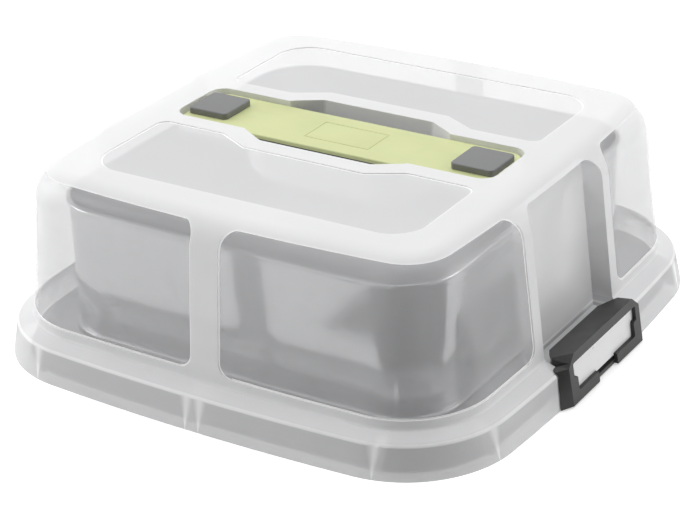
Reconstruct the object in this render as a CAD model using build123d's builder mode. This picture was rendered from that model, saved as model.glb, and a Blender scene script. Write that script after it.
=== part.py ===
"""Square springform pan on a serving base, under a translucent cover with a carrying handle."""

from build123d import *
import os
from math import sqrt

os.makedirs("parts", exist_ok=True)

# Driving dimensions, all in millimetres.
# The object stands on Z = 0 and is centred on the Z axis.
# The handle runs along X, a clip sits on each X side, and the pan's latch is on the +Y side.

# Cover outline: half widths, side bow and corner radius at each level
SKIRT_HALF = 159.0
SKIRT_BOW = 3.2
SKIRT_CORNER = 63.0
SKIRT_BOTTOM_Z = 0.5
SHOULDER_HALF = 155.3
SHOULDER_Z = 19.5
SHOULDER_FILLET = 3.5
WALL_FOOT_HALF = 144.6
WALL_FOOT_BOW = 1.6
WALL_FOOT_CORNER = 51.0
WALL_FOOT_Z = 22.8
WALL_FOOT_FILLET = 2.5
WALL_TOP_HALF = 136.2
WALL_TOP_BOW = 5.0
WALL_TOP_CORNER = 30.4
COVER_HEIGHT = 110.2
TOP_FILLET = 18.8
COVER_WALL = 1.9

# Clear panels, let a little into the frosted cover
PANEL_DEPTH = 0.6
FRONT_RIB_HALF = 8.6
SIDE_RIB_EDGE = 48.4
PANEL_BOTTOM_Z = 27.6
PANEL_TOP_Z = 107.2
PANEL_CORNER = 8.0
TOP_PANEL_HALF = 101.6
TOP_PANEL_OUTER = 103.6
TOP_PANEL_INNER = 33.8
TOP_PANEL_BULGE = 44.6
TOP_PANEL_BULGE_FOOT = 59.4
TOP_PANEL_BULGE_HEAD = 38.5
TOP_PANEL_CORNER = 20.0
TOP_PANEL_SMALL_CORNER = 7.0

# Recess in each X side, above and behind the clip
RECESS_HALF = 40.2
RECESS_FLOOR_Z = 16.0
RECESS_TOP_Z = 106.5
RECESS_PANEL_FOOT = 132.8
RECESS_PANEL_HEAD = 123.8
RECESS_CORNER = 10.0
RECESS_INNER_FILLET = 4.0

# Handle tray and finger well in the top
TRAY_HALF_LENGTH = 102.6
TRAY_HALF_WIDTH = 22.6
TRAY_CORNER = 9.0
WELL_HALF_WIDTH = 33.1
WELL_HEAD = 36.0
WELL_FOOT = 54.0
WELL_DEPTH = 27.0
WELL_CORNER = 6.0
WELL_FLOOR_FILLET = 7.0
WELL_TAPER = 5.0

# Handle
STRAP_HALF_LENGTH = 100.6
STRAP_HALF_WIDTH = 21.8
STRAP_CORNER = 8.0
STRAP_TOP_Z = 107.4
STRAP_THICKNESS = 2.4
STRAP_EDGE = 0.8
CORE_THICKNESS = 4.6
CORE_INSET = 0.9
CORE_CHAMFER = 1.4
PLAIN_FIELD_HALF_LENGTH = 21.0
PLAIN_FIELD_HALF_WIDTH = 11.6
PLAIN_FIELD_DEPTH = 0.4
PLAIN_FIELD_LINE = 0.6
CAP_OFFSET = 86.0
CAP_HALF = 13.1
CAP_HEIGHT = 3.7
CAP_CORNER = 2.6
CAP_EDGE = 0.8
CAP_STUD_RADIUS = 5.0
CAP_STUD_CLEARANCE = 0.25
CAP_BARB_RADIUS = 5.8
CAP_BARB_HEIGHT = 2.2
CAP_BARB_TAPER = 20.0
CAP_SLOT = 1.6

# Skirt ribs, whose sloping edges centre the cover on the base's rounded edge
GUSSET_FOOT_Z = 2.9
GUSSET_SLOPE = 0.8
GUSSET_TUCK = 0.45
GUSSET_THICKNESS = 2.6
GUSSET_OFFSET = 107.0
GUSSET_PAIR = 4.2
GUSSET_INNER = 139.5

# Serving base of sheet steel
BASE_HALF = 149.5
BASE_CORNER = 53.5
BASE_BOW = 3.2
BASE_SHEET = 0.9
BASE_BEAD = 2.4
BASE_FLARE = 4.6
BASE_FLANGE_Z = 13.0
BASE_EDGE_FILLET = 3.0
BEAD_ROUNDING = 0.45
PLATFORM_HEIGHT = 5.0
PLATFORM_FILLET = 1.6

# Pan ring of sheet steel
RING_HALF = 120.3
RING_BOW = 0.8
RING_CORNER = 32.0
RING_SHEET = 0.8
RING_TOP_Z = 91.2
RING_BEAD = 1.8
RING_SEAM = 1.0
FIT_GAP = 0.3
RUNNING_GAP = 0.5

# Clip on each X side, a hollow shell that turns on a pin
CLIP_TOP_HALF = 35.0
CLIP_SHOULDER_HALF = 41.9
CLIP_SHOULDER_Z = 22.4
CLIP_WING_Z = 20.4
CLIP_WING_HALF = 46.5
CLIP_FRONT_HALF = 41.6
CLIP_BODY_HALF = 39.7
CLIP_BACK_HALF = 28.6
CLIP_SIDE_X = 148.4
CLIP_SHELL = 2.2
CLIP_GAP = 0.5
CLIP_FRONT_FOOT = 162.6
CLIP_FRONT_HEAD = 158.6
CLIP_TOP_Z = 28.4
CLIP_BACK_X = 141.0
CLIP_BACK_TOP_Z = 22.6
CLIP_BOTTOM_Z = 0.8
CLIP_FLARE_DEPTH = 8.1
CLIP_FLARE_FOOT = 15.3
CLIP_FLARE_HEAD = 1.8
CLIP_LIP_X = 150.5
CLIP_LIP_HEIGHT = 2.4
CLIP_LIP_HALF = 14.2
CLIP_WINDOW_HALF = 37.2
CLIP_WINDOW_STEP = 3.6
CLIP_WINDOW_STEP_Z = 15.0
CLIP_WINDOW_TOP_Z = 23.2
CLIP_WINDOW_BOTTOM_Z = 6.6
CLIP_WINDOW_CORNER = 1.2
CLIP_NOTCH_HALF = 11.0
CLIP_INSERT_SHEET = 0.8
CLIP_INSERT_LAP = 1.0
CLIP_PIN_X = 144.2
CLIP_PIN_Z = 19.8
CLIP_PIN_RADIUS = 1.0
CLIP_OPEN_ANGLE = 75
PIN_FIT = 0.04
LUG_OFFSET = 18.7
LUG_THICKNESS = 4.0
LUG_REACH = 8.0
EAR_OFFSET = 14.0
EAR_THICKNESS = 4.0
EAR_RADIUS = 1.8
EAR_RELIEF = 0.3
LIP_NOTCH_HALF = 15.0
LIP_NOTCH_HEIGHT = 10.4

# Latch on the back of the ring
LATCH_MID_Z = 45.0
LATCH_SHEET = 1.2
PLATE_HALF_HEIGHT = 11.0
PLATE_CORNER = 2.0
BRACKET_X = 8.0
BRACKET_LENGTH = 23.5
TAB_HALF_HEIGHT = 5.0
TAB_RADIUS = 1.9
LATCH_PIN_X = 15.0
LATCH_PIN_OUT = 7.0
LATCH_PIN_RADIUS = 1.2
LATCH_PIN_END = 0.3
LEVER_HALF_HEIGHT = 7.0
LEVER_SHEET = 1.1
LEVER_HEAD = 2.6
LEVER_LENGTH = 48.0
LEVER_WEB = 2.4
LEVER_FLANGE_LOW = 1.25
LEVER_FLANGE_LENGTH = 16.0
LEVER_TIP_LENGTH = 12.0
LEVER_TIP_RISE = 3.0
BAIL_ARM = 9.0
BAIL_DROP = 2.6
BAIL_LENGTH = 48.0
BAIL_WIRE = 1.1
BAIL_BEND = 2.0
BAIL_HALF_HEIGHT = 8.6
BAIL_FOOT = 3.8
CATCH_X = -30.0
CATCH_LENGTH = 24.0
HOOK_HALF_HEIGHT = 4.0
HOOK_ROOT = 1.4
HOOK_SLACK = 0.8
HOOK_HEADROOM = 1.9
HOOK_LIP = 2.2
RIVET_RADIUS = 1.4
RIVET_HEAD = 2.4
RIVET_HEAD_HEIGHT = 0.9
RIVET_SEAT = 0.1
BRACKET_RIVET_X = 27.4
BRACKET_RIVET_SPREAD = 3.0
CATCH_RIVET_X = -12.0
CATCH_RIVET_SPREAD = 6.0
TONGUE_LENGTH = 18.0
TONGUE_SHIFT = 3.0
TONGUE_SHEET = 0.6
TONGUE_CLEARANCE = 1.5

# Values worked out from the driving dimensions
FAR = 2 * SKIRT_HALF
OVERCUT = 1.0
TRAY_FLOOR_Z = STRAP_TOP_Z - STRAP_THICKNESS - CORE_THICKNESS
PLATFORM_Z = BASE_FLANGE_Z + PLATFORM_HEIGHT
RING_INNER = RING_HALF - RING_SHEET
RING_BOTTOM_Z = BASE_FLANGE_Z + FIT_GAP
PLATFORM_HALF = RING_INNER - RUNNING_GAP


def bowed_square(half, bow, corner):
    """Draw a square whose sides bulge by bow and whose corners are round, in the active sketch."""
    flat = half - corner
    side_radius = (flat**2 + bow**2) / (2 * bow)
    back = side_radius - half
    reach = (sqrt(2 * side_radius**2 - back**2) - back) / 2
    points = [(-reach, -reach), (reach, -reach), (reach, reach), (-reach, reach)]
    middles = [(0, -half), (half, 0), (0, half), (-half, 0)]
    with BuildLine() as outline:
        for index, middle in enumerate(middles):
            ThreePointArc(points[index], middle, points[(index + 1) % len(points)])
    make_face(outline.edges())
    fillet(vertices(), corner)


def bowed_block(levels):
    """Return a block through (height, half width, bow, corner radius) levels."""
    with BuildPart() as block:
        for height, half, bow, corner in levels:
            with BuildSketch(Plane.XY.offset(height)):
                bowed_square(half, bow, corner)
        loft(ruled=True)
    return block


def edges_at(block, height, tolerance=0.01):
    """Return the edges of a block that lie flat at one height."""
    low, high = height - tolerance, height + tolerance
    return block.edges().filter_by_position(Axis.Z, low, high)


def cover_form(inset):
    """Return the cover's outer form, moved inwards by inset."""
    shoulder_corner = SKIRT_CORNER - SKIRT_HALF + SHOULDER_HALF
    skirt_levels = [
        (SKIRT_BOTTOM_Z, SKIRT_HALF - inset, SKIRT_BOW, SKIRT_CORNER - inset),
        (SHOULDER_Z - inset, SHOULDER_HALF - inset, SKIRT_BOW, shoulder_corner - inset),
        (WALL_FOOT_Z - inset, WALL_FOOT_HALF - inset, WALL_FOOT_BOW, WALL_FOOT_CORNER - inset),
        (COVER_HEIGHT - inset, WALL_TOP_HALF - inset, WALL_TOP_BOW, WALL_TOP_CORNER - inset),
    ]
    block = bowed_block(skirt_levels)
    with BuildPart() as form:
        add(block.part)
        fillet(edges_at(form, COVER_HEIGHT - inset), TOP_FILLET - inset)
        fillet(edges_at(form, SHOULDER_Z - inset), SHOULDER_FILLET - min(inset, SHOULDER_FILLET / 2))
        fillet(edges_at(form, WALL_FOOT_Z - inset), WALL_FOOT_FILLET + inset)
    return form.part


def recess_form(grow):
    """Return the recess over the right clip, with grow added to its floor, back and side walls."""
    tall = RECESS_TOP_Z - RECESS_FLOOR_Z + 2 * grow
    with BuildPart() as recess:
        with BuildSketch(Plane.XZ.offset(-RECESS_HALF - grow)):
            with BuildLine():
                Polyline(
                    (RECESS_PANEL_FOOT - grow, RECESS_FLOOR_Z - grow),
                    (FAR, RECESS_FLOOR_Z - grow),
                    (FAR, RECESS_TOP_Z + grow),
                    (RECESS_PANEL_HEAD - grow, RECESS_TOP_Z + grow),
                    close=True,
                )
            make_face()
        extrude(amount=2 * (RECESS_HALF + grow))
        upright = recess.edges().group_by(Axis.X)[0].sort_by(Axis.Y)
        fillet((upright[0], upright[-1]), RECESS_INNER_FILLET + grow)
        with BuildSketch(Plane.YZ):
            with Locations((0, RECESS_FLOOR_Z - grow + tall / 2)):
                Rectangle(2 * (RECESS_HALF + grow), tall)
            fillet(vertices().group_by(Axis.Y)[-1], RECESS_CORNER + grow)
        extrude(amount=FAR, mode=Mode.INTERSECT)
    return recess.part


def handle_form(grow):
    """Return the handle's tray and finger well, with grow added to floors and walls."""
    tray_floor = TRAY_FLOOR_Z - grow
    well_floor = COVER_HEIGHT - WELL_DEPTH - grow
    with BuildPart() as form:
        with BuildSketch(Plane.XY.offset(tray_floor)):
            RectangleRounded(2 * (TRAY_HALF_LENGTH + grow), 2 * (TRAY_HALF_WIDTH + grow), TRAY_CORNER + grow)
        extrude(amount=COVER_HEIGHT + OVERCUT - tray_floor)
        with BuildSketch(Plane.XY.offset(COVER_HEIGHT + OVERCUT)):
            with BuildLine():
                Polyline(
                    (-WELL_FOOT, -TRAY_HALF_WIDTH),
                    (-WELL_HEAD, -WELL_HALF_WIDTH),
                    (WELL_HEAD, -WELL_HALF_WIDTH),
                    (WELL_FOOT, -TRAY_HALF_WIDTH),
                    (WELL_FOOT, TRAY_HALF_WIDTH),
                    (WELL_HEAD, WELL_HALF_WIDTH),
                    (-WELL_HEAD, WELL_HALF_WIDTH),
                    (-WELL_FOOT, TRAY_HALF_WIDTH),
                    close=True,
                )
            make_face()
            fillet(vertices(), WELL_CORNER)
            if grow:
                offset(amount=grow)
        extrude(amount=well_floor - COVER_HEIGHT - OVERCUT, taper=WELL_TAPER)
        fillet(edges_at(form, well_floor), WELL_FLOOR_FILLET + grow)
    return form.part


def panel_prism(low_x, high_x, outline_corner):
    """Return a block along Y whose outline is one side panel seen from the front."""
    width = high_x - low_x
    tall = PANEL_TOP_Z - PANEL_BOTTOM_Z
    with BuildPart() as prism:
        with BuildSketch(Plane.XZ):
            with Locations((low_x + width / 2, PANEL_BOTTOM_Z + tall / 2)):
                RectangleRounded(width, tall, outline_corner)
        extrude(amount=FAR, both=True)
    return prism.part


def corner_panel():
    """Return the block that bounds the clear panel round the right front corner."""
    with BuildPart() as bounds:
        add(panel_prism(FRONT_RIB_HALF, FAR, PANEL_CORNER))
        with BuildSketch(Plane.YZ):
            with Locations((-(SIDE_RIB_EDGE + FAR) / 2, (PANEL_BOTTOM_Z + PANEL_TOP_Z) / 2)):
                RectangleRounded(FAR - SIDE_RIB_EDGE, PANEL_TOP_Z - PANEL_BOTTOM_Z, PANEL_CORNER)
        extrude(amount=FAR, mode=Mode.INTERSECT)
    return bounds.part


def top_panel():
    """Return the block that bounds the front one of the two clear panels in the top."""
    with BuildPart() as bounds:
        with BuildSketch(Plane.XY.offset(COVER_HEIGHT - WALL_FOOT_Z)):
            with BuildLine():
                Polyline(
                    (-TOP_PANEL_HALF, -TOP_PANEL_OUTER),
                    (TOP_PANEL_HALF, -TOP_PANEL_OUTER),
                    (TOP_PANEL_HALF, -TOP_PANEL_INNER),
                    (TOP_PANEL_BULGE_FOOT, -TOP_PANEL_INNER),
                    (TOP_PANEL_BULGE_HEAD, -TOP_PANEL_BULGE),
                    (-TOP_PANEL_BULGE_HEAD, -TOP_PANEL_BULGE),
                    (-TOP_PANEL_BULGE_FOOT, -TOP_PANEL_INNER),
                    (-TOP_PANEL_HALF, -TOP_PANEL_INNER),
                    close=True,
                )
            make_face()
            fillet(vertices().group_by(Axis.Y)[0], TOP_PANEL_CORNER)
            fillet(vertices().group_by(Axis.Y)[-1], TOP_PANEL_SMALL_CORNER)
        extrude(amount=FAR)
    return bounds.part


outer_form = cover_form(0)
skin_form = cover_form(PANEL_DEPTH)
right_recess = recess_form(0)
handle_recess = handle_form(0)


def base_form(grow):
    """Return the serving base's outer form, with grow added all round."""
    foot_half = BASE_HALF - BASE_BEAD / 2
    head_half = BASE_HALF - BASE_FLARE
    block = bowed_block([
        (BASE_BEAD / 2 - BASE_SHEET, foot_half + grow, BASE_BOW, BASE_CORNER - BASE_HALF + foot_half + grow),
        (BASE_FLANGE_Z + grow, head_half + grow, BASE_BOW, BASE_CORNER - BASE_HALF + head_half + grow),
    ])
    with BuildPart() as form:
        add(block.part)
        fillet(edges_at(form, BASE_FLANGE_Z + grow), BASE_EDGE_FILLET + grow)
        with BuildSketch(Plane.XY.offset(BASE_FLANGE_Z + grow)):
            bowed_square(PLATFORM_HALF + grow, RING_BOW, RING_CORNER - RING_HALF + PLATFORM_HALF + grow)
        extrude(amount=PLATFORM_HEIGHT)
        fillet(edges_at(form, PLATFORM_Z + grow), PLATFORM_FILLET + grow)
    return form.part


def bead_form(half, bow, corner, thickness, low_z):
    """Return a rolled bead that lies along an outline, half wide at its outer side."""
    with BuildPart() as bead:
        with BuildSketch(Plane.XY.offset(low_z)):
            bowed_square(half, bow, corner)
        extrude(amount=thickness)
        with BuildSketch(Plane.XY.offset(low_z)):
            bowed_square(half - thickness, bow, corner - thickness)
        extrude(amount=thickness, mode=Mode.SUBTRACT)
        rim = edges_at(bead, low_z) + edges_at(bead, low_z + thickness)
        fillet(rim, thickness * BEAD_ROUNDING)
    return bead.part


# Cover: the hollow, the clear panels and the ribs inside the skirt
with BuildPart() as cavity:
    add(cover_form(COVER_WALL))
    add(recess_form(COVER_WALL), mode=Mode.SUBTRACT)
    add(recess_form(COVER_WALL).mirror(Plane.YZ), mode=Mode.SUBTRACT)
    add(handle_form(COVER_WALL), mode=Mode.SUBTRACT)

with BuildPart() as panel_bounds:
    add(corner_panel())
    mirror(about=Plane.YZ)
    mirror(about=Plane.XZ)
    add(top_panel())
    mirror(top_panel(), about=Plane.XZ)

with BuildPart() as panel_cuts:
    add(outer_form)
    add(skin_form, mode=Mode.SUBTRACT)
    add(panel_bounds.part, mode=Mode.INTERSECT)

gusset_height = WALL_FOOT_Z - GUSSET_FOOT_Z
gusset_half = BASE_HALF - BASE_FLARE - GUSSET_TUCK
gusset_seat = bowed_block([
    (height, half, BASE_BOW, BASE_CORNER - BASE_HALF + half)
    for height, half in (
        (0, gusset_half + GUSSET_SLOPE * BASE_FLANGE_Z),
        (WALL_FOOT_Z, gusset_half - GUSSET_SLOPE * (WALL_FOOT_Z - BASE_FLANGE_Z)),
    )
])
with BuildPart() as gussets:
    with Locations((0, 0, GUSSET_FOOT_Z + gusset_height / 2)):
        for offset_x in (-GUSSET_OFFSET, -GUSSET_PAIR, GUSSET_PAIR, GUSSET_OFFSET):
            with Locations((offset_x, 0, 0)):
                Box(GUSSET_THICKNESS, FAR, gusset_height)
        for offset_y in (-GUSSET_OFFSET, GUSSET_OFFSET):
            with Locations((0, offset_y, 0)):
                Box(FAR, GUSSET_THICKNESS, gusset_height)
        Box(2 * GUSSET_INNER, 2 * GUSSET_INNER, gusset_height, mode=Mode.SUBTRACT)
    add(skin_form, mode=Mode.INTERSECT)
    add(gusset_seat.part, mode=Mode.SUBTRACT)

# Clip hinge: the ears stand on the recess floor, with the pin through them
ear_bottom = RECESS_FLOOR_Z - COVER_WALL / 2
with BuildPart() as ears:
    for offset_y in (-EAR_OFFSET, EAR_OFFSET):
        with BuildSketch(Plane.XZ.offset(-offset_y - EAR_THICKNESS / 2)):
            with Locations((CLIP_PIN_X, CLIP_PIN_Z)):
                Circle(EAR_RADIUS)
            with Locations((CLIP_PIN_X, (ear_bottom + CLIP_PIN_Z) / 2)):
                Rectangle(2 * EAR_RADIUS, CLIP_PIN_Z - ear_bottom)
            with Locations((CLIP_PIN_X, CLIP_PIN_Z)):
                Circle(CLIP_PIN_RADIUS + PIN_FIT, mode=Mode.SUBTRACT)
        extrude(amount=EAR_THICKNESS)

# Cover, one translucent moulding, kept as its skirt, shoulder, walls and top
with BuildPart() as moulding:
    add(outer_form)
    add(right_recess, mode=Mode.SUBTRACT)
    add(right_recess.mirror(Plane.YZ), mode=Mode.SUBTRACT)
    add(handle_recess, mode=Mode.SUBTRACT)
    add(cavity.part, mode=Mode.SUBTRACT)
    add(panel_cuts.part, mode=Mode.SUBTRACT)
    add(gussets.part)
    with Locations((0, 0, SKIRT_BOTTOM_Z + LIP_NOTCH_HEIGHT / 2 - OVERCUT / 2)):
        Box(FAR + OVERCUT, 2 * LIP_NOTCH_HALF, LIP_NOTCH_HEIGHT + OVERCUT, mode=Mode.SUBTRACT)
    with Locations((-CAP_OFFSET, 0, TRAY_FLOOR_Z), (CAP_OFFSET, 0, TRAY_FLOOR_Z)):
        Cylinder(CAP_STUD_RADIUS + CAP_STUD_CLEARANCE, 4 * COVER_WALL, mode=Mode.SUBTRACT)

top_seam_z = COVER_HEIGHT - WELL_DEPTH - 2 * COVER_WALL
with BuildPart() as cover_skirt:
    add(moulding.part)
    split(bisect_by=Plane.XY.offset(RECESS_FLOOR_Z), keep=Keep.BOTTOM)
    add(ears.part)
    mirror(ears.part, about=Plane.YZ)

with BuildPart() as cover_shoulder:
    add(moulding.part)
    split(bisect_by=Plane.XY.offset(RECESS_FLOOR_Z), keep=Keep.TOP)
    split(bisect_by=Plane.XY.offset(WALL_FOOT_Z), keep=Keep.BOTTOM)

with BuildPart() as cover_walls:
    add(moulding.part)
    split(bisect_by=Plane.XY.offset(WALL_FOOT_Z), keep=Keep.TOP)
    split(bisect_by=Plane.XY.offset(top_seam_z), keep=Keep.BOTTOM)

with BuildPart() as cover_top:
    add(moulding.part)
    split(bisect_by=Plane.XY.offset(top_seam_z), keep=Keep.TOP)

# Handle core, the stiff bar that bridges the finger well
with BuildPart() as handle_core:
    with BuildSketch(Plane.XY.offset(TRAY_FLOOR_Z)):
        RectangleRounded(
            2 * (STRAP_HALF_LENGTH - CORE_INSET),
            2 * (STRAP_HALF_WIDTH - CORE_INSET),
            STRAP_CORNER - CORE_INSET,
        )
        with Locations((-CAP_OFFSET, 0), (CAP_OFFSET, 0)):
            Circle(CAP_STUD_RADIUS + CAP_STUD_CLEARANCE, mode=Mode.SUBTRACT)
    extrude(amount=CORE_THICKNESS)
    outline_edges = edges_at(handle_core, TRAY_FLOOR_Z).filter_by(GeomType.CIRCLE, reverse=True)
    chamfer(outline_edges.sort_by(Axis.Y)[-1], CORE_CHAMFER)
    chamfer(edges_at(handle_core, TRAY_FLOOR_Z).filter_by(GeomType.LINE).sort_by(Axis.Y)[0], CORE_CHAMFER)

# Handle strap, the soft skin on top of the core
strap_bottom = STRAP_TOP_Z - STRAP_THICKNESS
with BuildPart() as handle_strap:
    with BuildSketch(Plane.XY.offset(strap_bottom)):
        RectangleRounded(2 * STRAP_HALF_LENGTH, 2 * STRAP_HALF_WIDTH, STRAP_CORNER)
        with Locations((-CAP_OFFSET, 0), (CAP_OFFSET, 0)):
            Circle(CAP_STUD_RADIUS + CAP_STUD_CLEARANCE, mode=Mode.SUBTRACT)
    extrude(amount=STRAP_THICKNESS)
    rim = edges_at(handle_strap, STRAP_TOP_Z)
    holes = rim.filter_by(GeomType.CIRCLE).filter_by(lambda edge: edge.is_closed)
    fillet(rim - holes, STRAP_EDGE)
    with BuildSketch(Plane.XY.offset(STRAP_TOP_Z)):
        Rectangle(2 * PLAIN_FIELD_HALF_LENGTH, 2 * PLAIN_FIELD_HALF_WIDTH)
        Rectangle(
            2 * (PLAIN_FIELD_HALF_LENGTH - PLAIN_FIELD_LINE), 2 * (PLAIN_FIELD_HALF_WIDTH - PLAIN_FIELD_LINE),
            mode=Mode.SUBTRACT,
        )
    extrude(amount=-PLAIN_FIELD_DEPTH, mode=Mode.SUBTRACT)

# End caps: a square button on a stud that snaps in under the tray floor
tray_underside = TRAY_FLOOR_Z - COVER_WALL
barb_top = tray_underside - FIT_GAP


def end_cap(centre_x):
    """Return the cap at one end of the handle."""
    with BuildPart() as cap:
        with BuildSketch(Plane.XY.offset(STRAP_TOP_Z)):
            with Locations((centre_x, 0)):
                RectangleRounded(2 * CAP_HALF, 2 * CAP_HALF, CAP_CORNER)
        extrude(amount=CAP_HEIGHT)
        fillet(edges_at(cap, STRAP_TOP_Z + CAP_HEIGHT), CAP_EDGE)
        with BuildSketch(Plane.XY.offset(STRAP_TOP_Z)):
            with Locations((centre_x, 0)):
                Circle(CAP_STUD_RADIUS)
        extrude(amount=barb_top - CAP_BARB_HEIGHT - STRAP_TOP_Z)
        with BuildSketch(Plane.XY.offset(barb_top)):
            with Locations((centre_x, 0)):
                Circle(CAP_BARB_RADIUS)
        extrude(amount=-CAP_BARB_HEIGHT, taper=CAP_BARB_TAPER)
        with BuildSketch(Plane.XY.offset(strap_bottom)):
            with Locations((centre_x, 0)):
                Rectangle(CAP_SLOT, 2 * CAP_HALF)
        extrude(amount=barb_top - CAP_BARB_HEIGHT - strap_bottom, mode=Mode.SUBTRACT)
    return cap.part


with BuildPart() as end_cap_left:
    add(end_cap(-CAP_OFFSET))

with BuildPart() as end_cap_right:
    add(end_cap(CAP_OFFSET))

# Serving base, a shallow tray of sheet steel that stands upside down on its rolled edge
with BuildPart() as base_plate:
    add(base_form(0))
    add(bead_form(BASE_HALF, BASE_BOW, BASE_CORNER, BASE_BEAD, 0))
    add(base_form(-BASE_SHEET), mode=Mode.SUBTRACT)

# Latch plates follow the ring's outer face, with rivets through the sheet
ring_face = RING_HALF + LATCH_SHEET
rivet_length = LATCH_SHEET + RING_SHEET + RIVET_SEAT
bracket_rivet_spots = [
    (BRACKET_RIVET_X, LATCH_MID_Z + rise) for rise in (-BRACKET_RIVET_SPREAD, BRACKET_RIVET_SPREAD)
]
catch_rivet_spots = [
    (CATCH_RIVET_X, LATCH_MID_Z + rise) for rise in (-CATCH_RIVET_SPREAD, CATCH_RIVET_SPREAD)
]

with BuildPart() as ring_block:
    with BuildSketch():
        bowed_square(RING_HALF, RING_BOW, RING_CORNER)
    extrude(amount=RING_TOP_Z)


def back_plane(out):
    """Return the sketch plane at a distance out on the back, with local x along the part's X."""
    return Plane(origin=(0, out, 0), x_dir=(1, 0, 0), z_dir=(0, -1, 0))


def rivets(spots):
    """Return the rivets at (x, z) spots, headed on both sides of the sheet."""
    with BuildPart() as group:
        for spot in spots:
            with BuildSketch(back_plane(ring_face + RIVET_HEAD_HEIGHT)):
                with Locations(spot):
                    Circle(RIVET_HEAD)
            extrude(amount=RIVET_HEAD_HEIGHT)
            with BuildSketch(back_plane(ring_face)):
                with Locations(spot):
                    Circle(RIVET_RADIUS)
            extrude(amount=rivet_length)
            with BuildSketch(back_plane(ring_face - rivet_length)):
                with Locations(spot):
                    Circle(RIVET_HEAD)
            extrude(amount=RIVET_HEAD_HEIGHT)
    return group.part


def rivet_holes(spots):
    """Return the holes for the rivets at (x, z) spots."""
    with BuildPart() as holes_group:
        with BuildSketch(back_plane(ring_face)):
            with Locations(*spots):
                Circle(RIVET_RADIUS)
        extrude(amount=rivet_length)
    return holes_group.part


# Pan ring, a steel band with rolled edges and a seam at the back
ring_height = RING_TOP_Z - RING_BOTTOM_Z
with BuildPart() as pan_ring:
    with BuildSketch(Plane.XY.offset(RING_BOTTOM_Z)):
        bowed_square(RING_HALF, RING_BOW, RING_CORNER)
    extrude(amount=ring_height)
    with BuildSketch(Plane.XY.offset(RING_BOTTOM_Z)):
        bowed_square(RING_INNER, RING_BOW, RING_CORNER - RING_SHEET)
    extrude(amount=ring_height, mode=Mode.SUBTRACT)
    bead_width = RING_BEAD + RING_SHEET
    bead_half = RING_HALF + RING_BEAD
    bead_corner = RING_CORNER + RING_BEAD
    add(bead_form(bead_half, RING_BOW, bead_corner, bead_width, RING_TOP_Z - bead_width))
    add(bead_form(bead_half, RING_BOW, bead_corner, bead_width, RING_BOTTOM_Z))
    with Locations((0, RING_HALF, RING_BOTTOM_Z + ring_height / 2)):
        Box(RING_SEAM, 4 * bead_width, ring_height + OVERCUT, mode=Mode.SUBTRACT)
    add(rivet_holes(bracket_rivet_spots + catch_rivet_spots), mode=Mode.SUBTRACT)

# Seam tongue, welded inside the ring to close the seam
tongue_low = PLATFORM_Z + TONGUE_CLEARANCE
tongue_height = RING_TOP_Z - bead_width - tongue_low
with BuildPart() as seam_tongue:
    with BuildSketch(Plane.XY.offset(tongue_low)):
        bowed_square(RING_INNER, RING_BOW, RING_CORNER - RING_SHEET)
    extrude(amount=tongue_height)
    with BuildSketch(Plane.XY.offset(tongue_low)):
        bowed_square(RING_INNER - TONGUE_SHEET, RING_BOW, RING_CORNER - RING_SHEET - TONGUE_SHEET)
    extrude(amount=tongue_height, mode=Mode.SUBTRACT)
    with Locations((TONGUE_SHIFT, RING_HALF, tongue_low + tongue_height / 2)):
        Box(TONGUE_LENGTH, 4 * bead_width, tongue_height, mode=Mode.INTERSECT)

# Latch bracket, with two tabs that hold the lever's pin
pin_out = RING_HALF + LATCH_PIN_OUT
with BuildPart() as latch_bracket:
    with BuildSketch(back_plane(ring_face)):
        with Locations((BRACKET_X + BRACKET_LENGTH / 2, LATCH_MID_Z)):
            RectangleRounded(BRACKET_LENGTH, 2 * PLATE_HALF_HEIGHT, PLATE_CORNER)
    extrude(amount=LATCH_SHEET + RING_SHEET / 2)
    for tab_low in (LATCH_MID_Z - TAB_HALF_HEIGHT, LATCH_MID_Z + TAB_HALF_HEIGHT - LATCH_SHEET):
        with BuildSketch(Plane.XY.offset(tab_low)):
            with Locations((LATCH_PIN_X, pin_out)):
                Circle(TAB_RADIUS)
            with Locations((LATCH_PIN_X, (pin_out + RING_HALF) / 2)):
                Rectangle(2 * TAB_RADIUS, LATCH_PIN_OUT)
            with Locations((LATCH_PIN_X, pin_out)):
                Circle(LATCH_PIN_RADIUS, mode=Mode.SUBTRACT)
        extrude(amount=LATCH_SHEET)
    add(ring_block.part, mode=Mode.SUBTRACT)
    add(rivet_holes(bracket_rivet_spots), mode=Mode.SUBTRACT)

with BuildPart() as bracket_rivets:
    add(rivets(bracket_rivet_spots))

# Latch pin, a plain pin through the tabs and the lever
with BuildPart() as latch_pin:
    with Locations((LATCH_PIN_X, pin_out, LATCH_MID_Z)):
        Cylinder(LATCH_PIN_RADIUS, 2 * (LEVER_HALF_HEIGHT + LATCH_PIN_END))

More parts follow.
